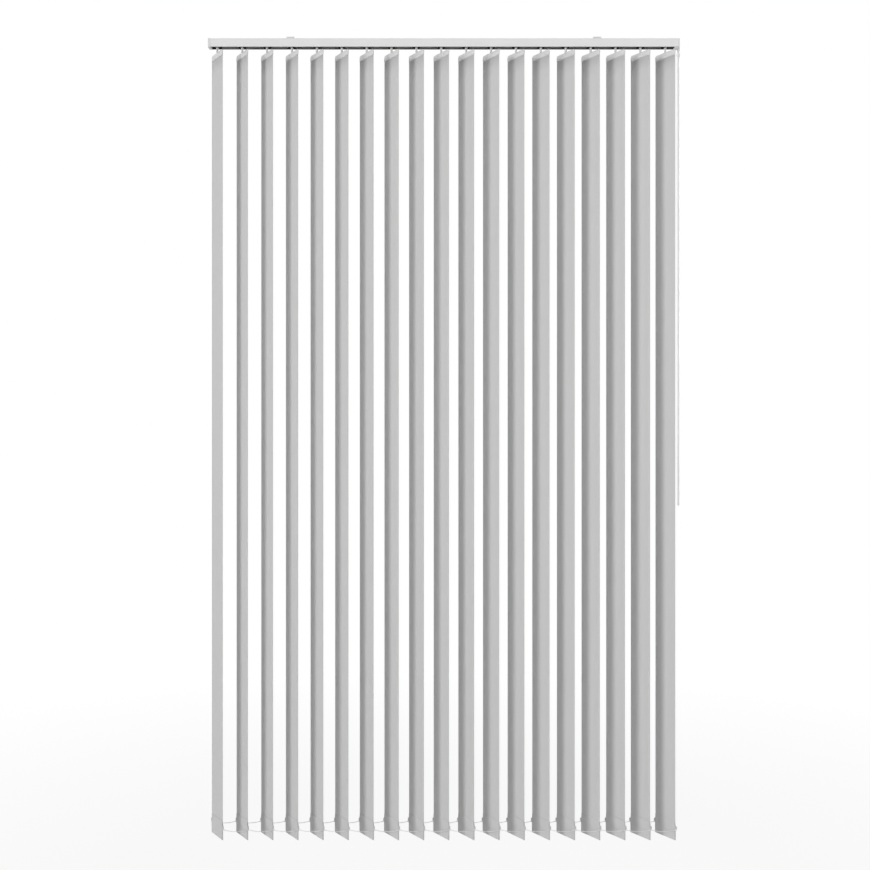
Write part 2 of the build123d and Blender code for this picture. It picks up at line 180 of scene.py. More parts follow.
def show(tree, factor, first, second, output):
    """Send the first shader to the output, or the second where the factor is 1."""
    mix = put(tree, "ShaderNodeMixShader", {0: factor, 1: first.outputs[0], 2: second.outputs[0]})
    tree.links.new(mix.outputs[0], tree.nodes[output].inputs["Surface"])


def floor_material():
    """Pale paint that the camera sees almost white; the shadow's share fades with distance."""
    mat, tree, paint = shader("studio_floor", FLOOR_GREY, roughness=1)
    white = put(tree, "ShaderNodeEmission", {"Color": WHITE})
    place = put(tree, "ShaderNodeTexCoord").outputs["Object"]
    away = put(tree, "ShaderNodeVectorMath", {0: place}, operation="LENGTH")
    fade = put(
        tree, "ShaderNodeMapRange",
        {
            "Value": away.outputs["Value"], "From Min": FADE_START, "From Max": FADE_END,
            "To Min": 1 - SHADOW_SHARE, "To Max": 1,
        },
    )
    share = reckon(tree, "MULTIPLY", background_rays(tree), fade.outputs[0])
    show(tree, share, paint, white, "Material Output")
    return mat


bpy.ops.mesh.primitive_plane_add(size=2 * FLOOR_REACH, location=(0, 0, FLOOR_LEVEL))
floor = bpy.context.object
floor.name = "floor"
floor.data.materials.append(floor_material())

# %% World
WORLD_LIGHT = 0.34
world = bpy.data.worlds.new("studio")
bpy.context.scene.world = world
world.use_nodes = True
ambient = world.node_tree.nodes["Background"]
ambient.inputs["Color"].default_value = WHITE
ambient.inputs["Strength"].default_value = WORLD_LIGHT
backdrop = put(world.node_tree, "ShaderNodeBackground", {"Color": WHITE, "Strength": 1})
show(world.node_tree, background_rays(world.node_tree), ambient, backdrop, "World Output")
print("world light", WORLD_LIGHT)

# %% [markdown]
# Every louvre carries the same soft shadow on its far third, from the first to the last.
# A lamp close by would shift that shadow along the row, so the key is a sun lamp, whose
# rays are parallel, and its wide angle makes the soft edge. A second sun from behind on
# the right lights the cloth's backs, and they throw light on the louvre next to them. A
# faint third one from the room side lifts the face of the rail.

# %% Lights


def sun_light(name, azimuth, elevation, spread, strength):
    """A sun: azimuth is from the room side, positive to the right; all in degrees."""
    lamp = bpy.data.lights.new(name, "SUN")
    lamp.energy = strength
    lamp.angle = radians(spread)
    level = cos(radians(elevation))
    side, front = sin(radians(azimuth)) * level, -cos(radians(azimuth)) * level
    towards = Vector((side, front, sin(radians(elevation))))
    add_object(name, lamp).rotation_euler = towards.to_track_quat("Z", "Y").to_euler()
    print(name, "sun of strength", strength, "from", azimuth, "degrees")


sun_light("key", azimuth=-47, elevation=7, spread=24, strength=1.42)
sun_light("back", azimuth=128, elevation=6, spread=50, strength=2.6)
sun_light("front", azimuth=0, elevation=-4, spread=40, strength=0.5)

# %% [markdown]
# Each finish is a small node tree. Cloth reads a UV map in metres, so the yarns keep
# their size whatever way the louvre turns; moulded and painted pieces read object
# coordinates. Values that are the same all over sit on the shader's own sockets.

# %% Shader helpers
TINT_ENDS = (0.3, 0.7)


def noise(tree, vector, scale, detail=3):
    """A noise texture on a vector."""
    values = {"Vector": vector, "Scale": scale, "Detail": detail}
    return put(tree, "ShaderNodeTexNoise", values).outputs["Fac"]


def tint(tree, factor, dark, light):
    """Two greys mixed by a factor."""
    ramp = put(tree, "ShaderNodeValToRGB", {0: factor})
    for element, end, grey in zip(ramp.color_ramp.elements, TINT_ENDS, (dark, light)):
        element.color = (grey, grey, grey, 1)
        element.position = end
    return ramp.outputs["Color"]


def bump(tree, height, surface, depth):
    """Relief of a given depth in metres on a surface."""
    relief = put(tree, "ShaderNodeBump", {"Height": height, "Distance": depth, "Strength": 1})
    tree.links.new(relief.outputs["Normal"], surface.inputs["Normal"])


def as_colour(grey):
    """A grey as a colour; a node's socket stays as it is."""
    return grey if isinstance(grey, bpy.types.NodeSocket) else (grey, grey, grey, 1)


def blended(tree, mask, outside, inside):
    """One colour outside a mask and one inside it, each a grey or a node's socket."""
    values = {"Factor": mask, "A": as_colour(outside), "B": as_colour(inside)}
    return put(tree, "ShaderNodeMix", values, data_type="RGBA").outputs["Result"]


def object_place(tree):
    """Each point's place in the frame, because every piece sits at the origin."""
    return put(tree, "ShaderNodeTexCoord").outputs["Object"]


# %% [markdown]
# Most small pieces are injection moulded. Such plastic is even in colour, with faint
# marks where it flowed into the mould and a fine grain from the mould's walls. An image
# could hold both, but two noise textures do it at the real scale on any shape.

# %% Moulded plastic
FLOW_SCALE = 60
FLOW_SHADE = 0.95
GRAIN_SCALE = 2500
GRAIN_DETAIL = 2
GRAIN_DEPTH = 0.02 * MM
POLISHED_DEPTH = 0.005 * MM


def flow_marks(tree, place, grey):
    """A grey with faint flow marks in it."""
    return tint(tree, noise(tree, place, FLOW_SCALE), FLOW_SHADE * grey, grey)


def mould_grain(tree, place, surface, depth=GRAIN_DEPTH):
    """The fine grain that a mould's walls leave."""
    bump(tree, noise(tree, place, GRAIN_SCALE, GRAIN_DETAIL), surface, depth)


def moulded(name, grey, roughness=0.45, depth=GRAIN_DEPTH):
    """Injection-moulded plastic: an even colour with faint flow marks and fine grain."""
    mat, tree, surface = shader(name, grey, roughness)
    place = object_place(tree)
    tree.links.new(flow_marks(tree, place, grey), surface.inputs["Base Color"])
    mould_grain(tree, place, surface, depth)
    return mat


HANGER_PLASTIC = moulded("hanger_plastic", 0.75)
HOOK_PLASTIC = moulded("hook_plastic", 0.66)
CAP_PLASTIC = moulded("cap_plastic", 0.8)
CLIP_PLASTIC = moulded("clip_plastic", 0.72)
WEIGHT_PLASTIC = moulded("weight_plastic", 0.6)
BEAD_PLASTIC = moulded("bead_plastic", 0.94, roughness=0.5)
WAND_PLASTIC = moulded("wand_plastic", 0.87, roughness=0.25, depth=POLISHED_DEPTH)
GRIP_PLASTIC = moulded("grip_plastic", 0.86, roughness=0.4)
LINK_PLASTIC = moulded("link_plastic", 0.7)
print("mould grain", GRAIN_DEPTH / MM, "mm deep")

# %% [markdown]
# Where the carriers run inside the rail they are painted near black, a painted shade for
# the deep shade there, but what comes out below them is pale: the holder round each stem,
# and the arm that the wand hangs from. Each carrier is one solid in the model, so the material
# tells the two apart by place, with a mask that is 1 on the pale stretch. It reads the solid's own
# coordinates, so it slides with the carrier.

# %% Plastic with painted shade
PAINTED_SHADE_PLASTIC = 0.015
PALE_PLASTIC = 0.72
ARM_WIDTH = 8 * MM
ARM_MARGIN = 0.1 * MM
HOLDER_HALF = 3.8 * MM
NECK_HEIGHT = 1.7 * MM


def split(tree, place):
    """The three coordinates of a place."""
    return put(tree, "ShaderNodeSeparateXYZ", {0: place}).outputs


def arm_mask(tree, place):
    """1 on the wand arm, at the right end of the lead carrier."""
    arm_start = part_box("lead_carrier")[1].x - ARM_WIDTH - ARM_MARGIN
    return reckon(tree, "GREATER_THAN", split(tree, place)["X"], arm_start)


def holder_mask(tree, place):
    """1 on the holder round each stem, at the bottom of each carrier's neck."""
    axes = split(tree, place)
    along = reckon(tree, "SUBTRACT", axes["X"], STATIONS[0])
    from_stem = reckon(tree, "PINGPONG", along, PITCH / 2)
    near = reckon(tree, "LESS_THAN", from_stem, HOLDER_HALF)
    low = reckon(tree, "LESS_THAN", axes["Z"], RAIL_LOW.z + NECK_HEIGHT)
    return reckon(tree, "MULTIPLY", near, low)


def plastic_with_painted_shade(name, mask, roughness, specular):
    """Moulded plastic in near black painted shade, and pale inside a mask."""
    mat, tree, surface = shader(name, PAINTED_SHADE_PLASTIC, roughness, Specular_IOR_Level=specular)
    place = object_place(tree)
    pale = flow_marks(tree, place, PALE_PLASTIC)
    # Outside the mask the near black is painted shade, for the parts inside the rail.
    colour = blended(tree, mask(tree, place), PAINTED_SHADE_PLASTIC, pale)
    tree.links.new(colour, surface.inputs["Base Color"])
    mould_grain(tree, place, surface)
    return mat


LEAD_PLASTIC = plastic_with_painted_shade("lead_plastic", arm_mask, roughness=0.6, specular=0.25)
CARRIER_PLASTIC = plastic_with_painted_shade("carrier_plastic", holder_mask, roughness=0.8, specular=0.15)
print("pale within", HOLDER_HALF / MM, "mm of each stem and", ARM_WIDTH / MM, "mm of the end")

# %% [markdown]
# The headrail is an extruded aluminium channel with a white powder coat, which dries
# with a slight orange peel. Seen from the room its open underside is a dark band of shade.
# The rail is one solid, so a mask finds the channel's inside and its lips by their place,
# and there the paint is near black and matt: a painted shade for the shade in the rail.

# %% Painted aluminium
WALL = 1.5 * MM
LIP = 0.5 * MM
PAINT = 0.89
PAINT_ROUGHNESS = 0.5
PAINT_SPECULAR = 0.25
PAINT_SHADE = 0.97
CLOUD_SCALE = 9
PEEL_SCALE = 700
PEEL_DETAIL = 2
PEEL_DEPTH = 0.02 * MM
CHANNEL_SHADE = 0.008
CHANNEL_ROUGHNESS = 0.95
CHANNEL_SPECULAR = 0.0


def channel_shade_mask(tree, place):
    """1 inside the rail's channel and on its lips, where the painted shade goes."""
    axes = split(tree, place)
    across = reckon(tree, "ABSOLUTE", axes["Y"])
    between = reckon(tree, "LESS_THAN", across, RAIL_HIGH.y - WALL)
    below = reckon(tree, "LESS_THAN", axes["Z"], RAIL_HIGH.z - WALL)
    lips = reckon(tree, "LESS_THAN", axes["Z"], RAIL_LOW.z + LIP)
    return reckon(tree, "MAXIMUM", reckon(tree, "MULTIPLY", between, below), lips)


def rail_paint():
    """White powder coat outside; near black painted shade on the channel's inside and its
    underside.
    """
    mat, tree, surface = shader(
        "rail_paint", PAINT, PAINT_ROUGHNESS, Specular_IOR_Level=PAINT_SPECULAR
    )
    place = object_place(tree)
    bump(tree, noise(tree, place, PEEL_SCALE, PEEL_DETAIL), surface, PEEL_DEPTH)
    # The channel mask marks where a painted shade, near black and matt, replaces the white paint.
    channel = channel_shade_mask(tree, place)
    paint = tint(tree, noise(tree, place, CLOUD_SCALE), PAINT_SHADE * PAINT, PAINT)
    tree.links.new(blended(tree, channel, paint, CHANNEL_SHADE), surface.inputs["Base Color"])
    for socket, outside, inside in (
        ("Roughness", PAINT_ROUGHNESS, CHANNEL_ROUGHNESS),
        ("Specular IOR Level", PAINT_SPECULAR, CHANNEL_SPECULAR),
    ):
        values = {"Value": channel, "To Min": outside, "To Max": inside}
        ranged = put(tree, "ShaderNodeMapRange", values)
        tree.links.new(ranged.outputs[0], surface.inputs[socket])
    return mat


RAIL_PAINT = rail_paint()
print("rail section", [round(side / MM, 1) for side in (RAIL_HIGH - RAIL_LOW).yz], "mm")

# %% [markdown]
# Louvre cloth is a stiffened weave. Two sets of fine bands, one for each direction of
# yarn, make the relief, and long faint streaks of noise make the slubs. Both read the
# UV map, which runs across the louvre and along the cloth in metres. The threads could
# be modelled, but at half a millimetre they are too small and too many for a mesh.

# %% Louvre cloth
CLOTH_GREY = 0.64
CLOTH_UV = "cloth"
YARN_PITCH = 0.55 * MM
YARN_WOBBLE = 0.6
WAVE_PERIOD = 2 * pi / 20
WEAVE_DEPTH = 0.08 * MM
SLUB_SCALE = (900, 25, 1)
SLUB_SHADE = 0.95


def yarns(tree, vector, direction):
    """Bands one yarn apart."""
    values = {"Vector": vector, "Scale": WAVE_PERIOD / YARN_PITCH, "Distortion": YARN_WOBBLE}
    return put(tree, "ShaderNodeTexWave", values, bands_direction=direction).outputs["Fac"]


def louvre_cloth():
    """Pale grey weave with slubs."""
    mat, tree, surface = shader("louvre_cloth", CLOTH_GREY, roughness=0.85, Sheen_Weight=0.15)
    uv = put(tree, "ShaderNodeUVMap", uv_map=CLOTH_UV).outputs[0]
    weave = reckon(tree, "MULTIPLY", yarns(tree, uv, "X"), yarns(tree, uv, "Y"))
    bump(tree, weave, surface, WEAVE_DEPTH)
    stretch = put(tree, "ShaderNodeMapping", {"Vector": uv, "Scale": SLUB_SCALE})
    slub = noise(tree, stretch.outputs[0], 1)
    colour = tint(tree, slub, SLUB_SHADE * CLOTH_GREY, CLOTH_GREY)
    tree.links.new(colour, surface.inputs["Base Color"])
    return mat


LOUVRE_CLOTH = louvre_cloth()
print("yarns", round(YARN_PITCH / MM, 2), "mm apart")

# %% [markdown]
# A louvre is one strip of cloth. It hangs from the hanger, passes under the weight and
# comes up again behind it, where it is welded to itself. Its section is a short line of
# points, and a Geometry Nodes tree sweeps that section across the louvre's width, keeps
# the distances along both as the UV map, turns the strip and moves it to its stem.

# %% Cloth section
CLOTH_THICKNESS = 0.6 * MM
POCKET_HALF = 1.2 * MM
HANGER_GAP = 14 * MM
HANGER_HEIGHT = 17.5 * MM
WEIGHT_REACH = 47.5 * MM
WELD_ABOVE_WEIGHT = 14 * MM
CLOTH_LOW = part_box("vane_01")[0].z
CLOTH_HIGH = RAIL_LOW.z - HANGER_GAP - HANGER_HEIGHT
WEIGHT_TOP = CLOTH_LOW + WEIGHT_REACH
CLOTH_ROWS = 40
RAMP_POINTS = 6
TURN_POINTS = 6


def eased(share):
    """0 to 1 along an S curve that is level at both ends."""
    return share * share * (3 - 2 * share)


def cloth_section():
    """Points across the cloth's thickness and down its length, in metres."""
    bottom = CLOTH_LOW + CLOTH_THICKNESS / 2
    weld = WEIGHT_TOP + WELD_ABOVE_WEIGHT
    points = []
    for row in range(CLOTH_ROWS):
        share = row / CLOTH_ROWS
        points.append((0.0, CLOTH_HIGH + (weld - CLOTH_HIGH) * share))
    for step in range(RAMP_POINTS + 1):
        share = step / RAMP_POINTS
        points.append((POCKET_HALF * eased(share), weld - WELD_ABOVE_WEIGHT * share))
    points.append((POCKET_HALF, (WEIGHT_TOP + bottom) / 2))
    for step in range(TURN_POINTS + 1):
        turn = pi * step / TURN_POINTS
        points.append((POCKET_HALF * cos(turn), bottom + POCKET_HALF * (1 - sin(turn))))
    points.append((-POCKET_HALF, (WEIGHT_TOP + bottom) / 2))
    for step in range(RAMP_POINTS + 1):
        share = step / RAMP_POINTS
        out = POCKET_HALF + (CLOTH_THICKNESS - POCKET_HALF) * eased(share)
        points.append((-out, WEIGHT_TOP + WELD_ABOVE_WEIGHT * share))
    return points


SECTION = cloth_section()

# %% [markdown]
# Louvres, ribs and chains each follow a rule, so each has a Geometry Nodes tree with
# named inputs for its sizes. A tree starts from its inputs and ends in real geometry
# with a material. It is run as a modifier, and only the plain mesh it makes is kept.

# %% Tree helpers


def new_tree(name, inputs):
    """A Geometry Nodes tree with named inputs, and the sockets that give their values."""
    tree = bpy.data.node_groups.new(name, "GeometryNodeTree")
    face = tree.interface
    face.new_socket("Geometry", in_out="OUTPUT", socket_type="NodeSocketGeometry")
    face.new_socket("Geometry", in_out="INPUT", socket_type="NodeSocketGeometry")
    for label, kind in inputs.items():
        face.new_socket(label, in_out="INPUT", socket_type=f"NodeSocket{kind}")
    return tree, put(tree, "NodeGroupInput").outputs


def close_tree(tree, geometry, material):
    """End a tree in real geometry, shaded smooth, with a material."""
    real = put(tree, "GeometryNodeRealizeInstances", {"Geometry": geometry})
    smooth = put(tree, "GeometryNodeSetShadeSmooth", {"Geometry": real.outputs[0]})
    values = {"Geometry": smooth.outputs[0], "Material": material}
    done = put(tree, "GeometryNodeSetMaterial", values)
    put(tree, "NodeGroupOutput", {0: done.outputs[0]})


def offset(tree, **axes):
    """A vector from the axes that are given; the others are 0."""
    return put(tree, "ShaderNodeCombineXYZ", axes).outputs[0]


def circle(tree, sides, radius):
    """A round line with a number of sides."""
    values = {"Resolution": sides, "Radius": radius}
    return put(tree, "GeometryNodeCurvePrimitiveCircle", values).outputs[0]


def swept(tree, line, profile, caps=False):
    """A profile swept along a line."""
    values = {"Curve": line, "Profile Curve": profile, "Fill Caps": caps}
    return put(tree, "GeometryNodeCurveToMesh", values).outputs[0]


def evaluated(name, mesh, tree=None, values=None, modifiers=()):
    """A plain mesh after a tree and modifiers, each given as its kind and its settings."""
    source = add_object(name + "_source", mesh)
    if tree:
        run = source.modifiers.new("tree", "NODES")
        run.node_group = tree
        for item in tree.interface.items_tree:
            if item.in_out == "INPUT" and item.name in values:
                run[item.identifier] = values[item.name]
    for kind, settings in modifiers:
        modifier = source.modifiers.new(kind.lower(), kind)
        for setting, value in settings.items():
            setattr(modifier, setting, value)
    bpy.context.view_layer.update()
    ready = source.evaluated_get(bpy.context.evaluated_depsgraph_get())
    result = bpy.data.meshes.new_from_object(ready)
    source.modifiers.clear()
    bpy.data.objects.remove(source)
    result.name = name
    return result


# %% Louvre tree
POINTS_ACROSS = 13


def louvre_tree():
    """Sweep the section across the width, keep a UV map, turn and place the strip."""
    tree, given = new_tree("louvre", {"Width": "Float", "Angle": "Float", "Station": "Float"})
    half = reckon(tree, "MULTIPLY", given["Width"], 0.5)
    less = reckon(tree, "MULTIPLY", half, -1.0)
    line = put(
        tree, "GeometryNodeCurvePrimitiveLine",
        {"Start": offset(tree, X=less), "End": offset(tree, X=half)},
    )
    across = put(
        tree, "GeometryNodeResampleCurve",
        {"Curve": line.outputs[0], "Count": POINTS_ACROSS},
    )
    section = put(tree, "GeometryNodeMeshToCurve", {"Mesh": given["Geometry"]})
    kept = []
    for curve in (across, section):
        along = put(tree, "GeometryNodeSplineParameter")
        keep = put(tree, "GeometryNodeCaptureAttribute", {"Geometry": curve.outputs[0]})
        keep.capture_items.new("FLOAT", "Along")
        tree.links.new(along.outputs["Length"], keep.inputs["Along"])
        kept.append(keep)
    strip = swept(tree, kept[0].outputs["Geometry"], kept[1].outputs["Geometry"])
    metres = offset(tree, X=kept[0].outputs["Along"], Y=kept[1].outputs["Along"])
    mapped = put(
        tree, "GeometryNodeStoreNamedAttribute",
        {"Geometry": strip, "Name": CLOTH_UV, "Value": metres},
        data_type="FLOAT2", domain="CORNER",
    )
    moved = put(
        tree, "GeometryNodeTransform",
        {
            "Geometry": mapped.outputs[0],
            "Translation": offset(tree, X=given["Station"]),
            "Rotation": offset(tree, Z=given["Angle"]),
        },
    )
    close_tree(tree, moved.outputs[0], LOUVRE_CLOTH)
    return tree


LOUVRE_TREE = louvre_tree()
print("louvre tree of", len(LOUVRE_TREE.nodes), "nodes")

# %% [markdown]
# Curve to Mesh turns a profile half round when it sweeps along X, so the section is
# written with both its signs turned. Solidify then gives the strip the cloth's real
# thickness. Each louvre replaces its solid in the model and rides its own body.

# %% Louvres
CLOTH_WALL = ("SOLIDIFY", {"thickness": CLOTH_THICKNESS, "offset": 0})


def line_mesh(name, points, edges):
    """Points and the edges between them as a mesh."""
    mesh = bpy.data.meshes.new(name)
    mesh.from_pydata(points, edges, [])
    return mesh


section_edges = [(i, i + 1) for i in range(len(SECTION) - 1)]
SECTION_MESH = line_mesh("section", [(-y, -z, 0) for y, z in SECTION], section_edges)
for node, x in sorted(LOUVRES.items()):
    name = node.replace("vane", "louvre")
    values = {"Width": LOUVRE_WIDTH, "Angle": -LOUVRE_ANGLE, "Station": x}
    strip = evaluated(name, SECTION_MESH, LOUVRE_TREE, values, [CLOTH_WALL])
    louvre = add_object(name, strip)
    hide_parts(node)
    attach(louvre, node)
print("louvre", [round(v, 4) for v in louvre.dimensions], len(louvre.data.polygons), "faces")

# %% [markdown]
# Above the cloth sit the hook and the hanger, and in its bottom fold the weight. Their
# solids in the model are right, but their edges are knife sharp. A merged copy of one
# louvre's solids is split into its shells, the cloth's shell is dropped, and a Bevel
# modifier rounds the rest, as a mould does. The result is then copied to every stem.

# %% Shells of a louvre's solids
WELD = 1e-6
FLAT_ANGLE = radians(1)
SHARP_ANGLE = radians(35)
BEVEL_ANGLE = radians(40)
FITTING_BEVEL = 0.3 * MM


def shells(mesh):
    """The closed shells of a merged copy of a mesh, highest first, as lists of faces."""
    work = bmesh.new()
    work.from_mesh(mesh)
    bmesh.ops.remove_doubles(work, verts=work.verts, dist=WELD)
    bmesh.ops.dissolve_limit(work, angle_limit=FLAT_ANGLE, verts=work.verts, edges=work.edges)
    left, found = set(work.faces), []
    while left:
        reached, front = set(), [left.pop()]
        while front:
            face = front.pop()
            reached.add(face)
            near = {other for edge in face.edges for other in edge.link_faces}
            front += near & left
            left -= near
        found.append(list(reached))
    found.sort(key=lambda faces: -max(v.co.z for f in faces for v in f.verts))
    return work, found


def soften(mesh):
    """Smooth shading, with the sharp edges kept."""
    mesh.shade_smooth()
    mesh.set_sharp_from_angle(angle=SHARP_ANGLE)


BEVEL = (
    "BEVEL",
    {"width": FITTING_BEVEL, "segments": 2, "limit_method": "ANGLE", "angle_limit": BEVEL_ANGLE},
)
work, found = shells(frame["nodes"]["vane_01"].data)
print(len(found), "shells:", [len(faces) for faces in found])
HOOK_SHELL, HANGER_SHELL, CLOTH_SHELL, WEIGHT_SHELL = found
for index, faces in enumerate((HOOK_SHELL, HANGER_SHELL, WEIGHT_SHELL)):
    for face in faces:
        face.material_index = index
bmesh.ops.delete(work, geom=CLOTH_SHELL, context="FACES")
fitting_mesh = bpy.data.meshes.new("fitting_solids")
work.to_mesh(fitting_mesh)
work.free()
for material in (HOOK_PLASTIC, HANGER_PLASTIC, WEIGHT_PLASTIC):
    fitting_mesh.materials.append(material)
FITTINGS = evaluated("fittings", fitting_mesh, modifiers=[BEVEL])
soften(FITTINGS)
print("fittings of one louvre", len(FITTINGS.polygons), "faces")

# %% [markdown]
# A moulded hanger is stiffened by a raised rim along its border and by short ribs. Both
# are round bars swept along lines, so one small tree makes them: the lines come in as
# a mesh, and Curve to Mesh gives them their round section.

# %% Hanger ribs
BAR_SIDES = 8
RIB_RADIUS = 0.45 * MM
RIM_INSET = 2.2 * MM
HANGER_HALF = 45.25 * MM
HANGER_CORNER = 4.5 * MM
HANGER_FACE = 0.9 * MM
RIB_SPACING = 9 * MM
RIB_START = 12 * MM
RIBS_A_SIDE = 4


def bar_tree():
    """Sweep a circle along every line of a mesh."""
    tree, given = new_tree("round_bars", {"Radius": "Float", "Material": "Material"})
    lines = put(tree, "GeometryNodeMeshToCurve", {"Mesh": given["Geometry"]})
    ring = circle(tree, BAR_SIDES, given["Radius"])
    close_tree(tree, swept(tree, lines.outputs[0], ring, caps=True), given["Material"])
    return tree


def hanger_lines():
    """The rim and the ribs on both faces of a hanger, as points and edges."""
    half = HANGER_HALF - RIM_INSET
    low = CLOTH_HIGH + RIM_INSET
    high = CLOTH_HIGH + HANGER_HEIGHT - RIM_INSET
    shoulder = high - HANGER_CORNER
    rim = [
        (-half, low), (half, low), (half, shoulder),
        (half - HANGER_CORNER, high), (HANGER_CORNER - half, high), (-half, shoulder),
    ]
    points, edges = [], []
    for y in (-HANGER_FACE, HANGER_FACE):
        first = len(points)
        points += [(x, y, z) for x, z in rim]
        edges += [(first + i, first + (i + 1) % len(rim)) for i in range(len(rim))]
        for side in (-1, 1):
            for rib in range(RIBS_A_SIDE):
                x = side * (RIB_START + rib * RIB_SPACING)
                top = shoulder if rib == RIBS_A_SIDE - 1 else high
                edges.append((len(points), len(points) + 1))
                points += [(x, y, low), (x, y, top)]
    return points, edges


rib_lines = line_mesh("rib_lines", *hanger_lines())
RIBS = evaluated("ribs", rib_lines, bar_tree(), {"Radius": RIB_RADIUS, "Material": HANGER_PLASTIC})
RIBS.transform(Matrix.Translation((STATIONS[0], 0, 0)) @ Matrix.Rotation(-LOUVRE_ANGLE, 4, "Z"))
print("ribs of one hanger", len(RIBS.polygons), "faces")

# %% Fittings on every louvre


def placed(name, template, shift, body):
    """A copy of a mesh moved along the rail, riding a body."""
    mesh = template.copy()
    mesh.transform(Matrix.Translation((shift, 0, 0)))
    mesh.name = name
    piece = add_object(name, mesh)
    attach(piece, body)


for node, x in sorted(LOUVRES.items()):
    number = node[-2:]
    placed(f"fittings_{number}", FITTINGS, x - STATIONS[0], node)
    placed(f"hanger_ribs_{number}", RIBS, x - STATIONS[0], node)
print("fittings and ribs on", len(LOUVRES), "louvres")

# %% [markdown]
# The weights are linked by two rows of bead chain, one on the room side and one on the
# window side. A span is a shallow hanging curve with a bead every few millimetres on a
# thin cord, and it repeats from weight to weight, with a small ring at each one. That
# is a rule twice over, so one tree makes a whole row from its sizes.

# %% Bead chain tree
SPAN_STEPS = 48
BEAD_SEGMENTS = 8
BEAD_RINGS = 6
CORD_SIDES = 6
RING_SIDES = 14
UPRIGHT = (pi / 2, 0, 0)


def copies(tree, points, instance, turn=(0, 0, 0)):
    """A copy of an instance on every point."""
    values = {"Points": points, "Instance": instance, "Rotation": turn}
    return put(tree, "GeometryNodeInstanceOnPoints", values).outputs[0]


def together(tree, *pieces):
    """Several geometries joined to one."""
    join = put(tree, "GeometryNodeJoinGeometry")
    for piece in pieces:
        tree.links.new(piece, join.inputs[0])
    return join.outputs[0]


def row_points(tree, count, start, step):
    """A row of points, one step apart."""
    values = {"Count": count, "Start Location": start, "Offset": step}
    return put(tree, "GeometryNodeMeshLine", values).outputs[0]


def chain_tree():
    """Beads on a sagging cord, repeated along the row, with a ring at every weight."""
    tree, given = new_tree(
        "bead_chain",
        {
            "Start": "Vector", "Pitch": "Float", "Sag": "Float", "Spans": "Int", "Beads": "Int",
            "Bead Radius": "Float", "Cord Radius": "Float", "Ring Radius": "Float",
        },
    )
    step = offset(tree, X=given["Pitch"])
    middle = reckon(tree, "MULTIPLY", given["Pitch"], 0.5)
    lowest = reckon(tree, "MULTIPLY", given["Sag"], -2.0)
    dip = offset(tree, X=middle, Z=lowest)
    curve = put(
        tree, "GeometryNodeCurveQuadraticBezier",
        {"Resolution": SPAN_STEPS, "Start": (0, 0, 0), "Middle": dip, "End": step},
    )
    even = put(
        tree, "GeometryNodeResampleCurve",
        {"Curve": curve.outputs[0], "Count": given["Beads"]},
    )
    bead = put(
        tree, "GeometryNodeMeshUVSphere",
        {"Segments": BEAD_SEGMENTS, "Rings": BEAD_RINGS, "Radius": given["Bead Radius"]},
    )
    beads = copies(tree, even.outputs[0], bead.outputs[0])
    thread = circle(tree, CORD_SIDES, given["Cord Radius"])
    cord = swept(tree, even.outputs[0], thread, caps=True)
    starts = row_points(tree, given["Spans"], given["Start"], step)
    row = copies(tree, starts, together(tree, beads, cord))
    ring = swept(tree, circle(tree, RING_SIDES, given["Ring Radius"]), thread)
    one_more = reckon(tree, "ADD", given["Spans"], 1.0)
    weights = row_points(tree, one_more, given["Start"], step)
    rings = copies(tree, weights, ring, UPRIGHT)
    close_tree(tree, together(tree, row, rings), BEAD_PLASTIC)
    return tree


CHAIN_TREE = chain_tree()
print("chain tree of", len(CHAIN_TREE.nodes), "nodes")

# %% Bead chains
BEADS_A_SPAN = 19
BEAD_RADIUS = 1.5 * MM
CORD_RADIUS = 0.5 * MM
RING_RADIUS = 2.4 * MM
CHAIN_SAG = 6 * MM
for side in ("front", "back"):
    low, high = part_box(f"{side}_chain")
    y = (low.y + high.y) / 2
    turn = next(j for j in frame["joints"] if j["name"] == f"{side}_chain_turn")
    start = (turn["pos_m"][0], y, high.z - BEAD_RADIUS / 2)
    values = {
        "Start": start, "Pitch": PITCH, "Sag": CHAIN_SAG,
        "Spans": len(STATIONS) - 1, "Beads": BEADS_A_SPAN, "Bead Radius": BEAD_RADIUS,
        "Cord Radius": CORD_RADIUS, "Ring Radius": RING_RADIUS,
    }
    name = f"{side}_bead_chain"
    beads = add_object(name, evaluated(name, bpy.data.meshes.new("nothing"), CHAIN_TREE, values))
    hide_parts(f"{side}_chain")
    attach(beads, f"{side}_chain")
    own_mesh(beads)
    print(name, len(beads.data.polygons), "faces, box", [round(v, 4) for v in beads.dimensions])

# %% [markdown]
# The wand ends in a slim grip that is easy to roll between finger and thumb. It was
# turned from a drawn profile: shallow grooves along its length, a rounded foot and a
# small collar where the rod enters. A profile spun round the wand's axis is the direct
# way to make such a form.

# %% Turned pieces
TURN_SEGMENTS = 40


def turned(name, profile, centre, material):
    """Spin a closed profile of radii and levels, which starts and ends on the axis."""
    mesh = bpy.data.meshes.new(name)
    work = bmesh.new()
    rows = []
    for radius, level in profile:
        if radius == 0:
            rows.append([work.verts.new((centre[0], centre[1], level))])
            continue
        ring = []
        for step in range(TURN_SEGMENTS):
            angle = 2 * pi * step / TURN_SEGMENTS
            place = (centre[0] + radius * cos(angle), centre[1] + radius * sin(angle), level)
            ring.append(work.verts.new(place))
        rows.append(ring)
    for upper, lower in zip(rows, rows[1:]):
        for step in range(TURN_SEGMENTS):
            after = (step + 1) % TURN_SEGMENTS
            corners = [upper[step % len(upper)], upper[after % len(upper)]]
            corners += [lower[after % len(lower)], lower[step % len(lower)]]
            work.faces.new(list(dict.fromkeys(corners)))
    bmesh.ops.recalc_face_normals(work, faces=work.faces)
    work.to_mesh(mesh)
    work.free()
    soften(mesh)
    mesh.materials.append(material)
    return add_object(name, mesh)


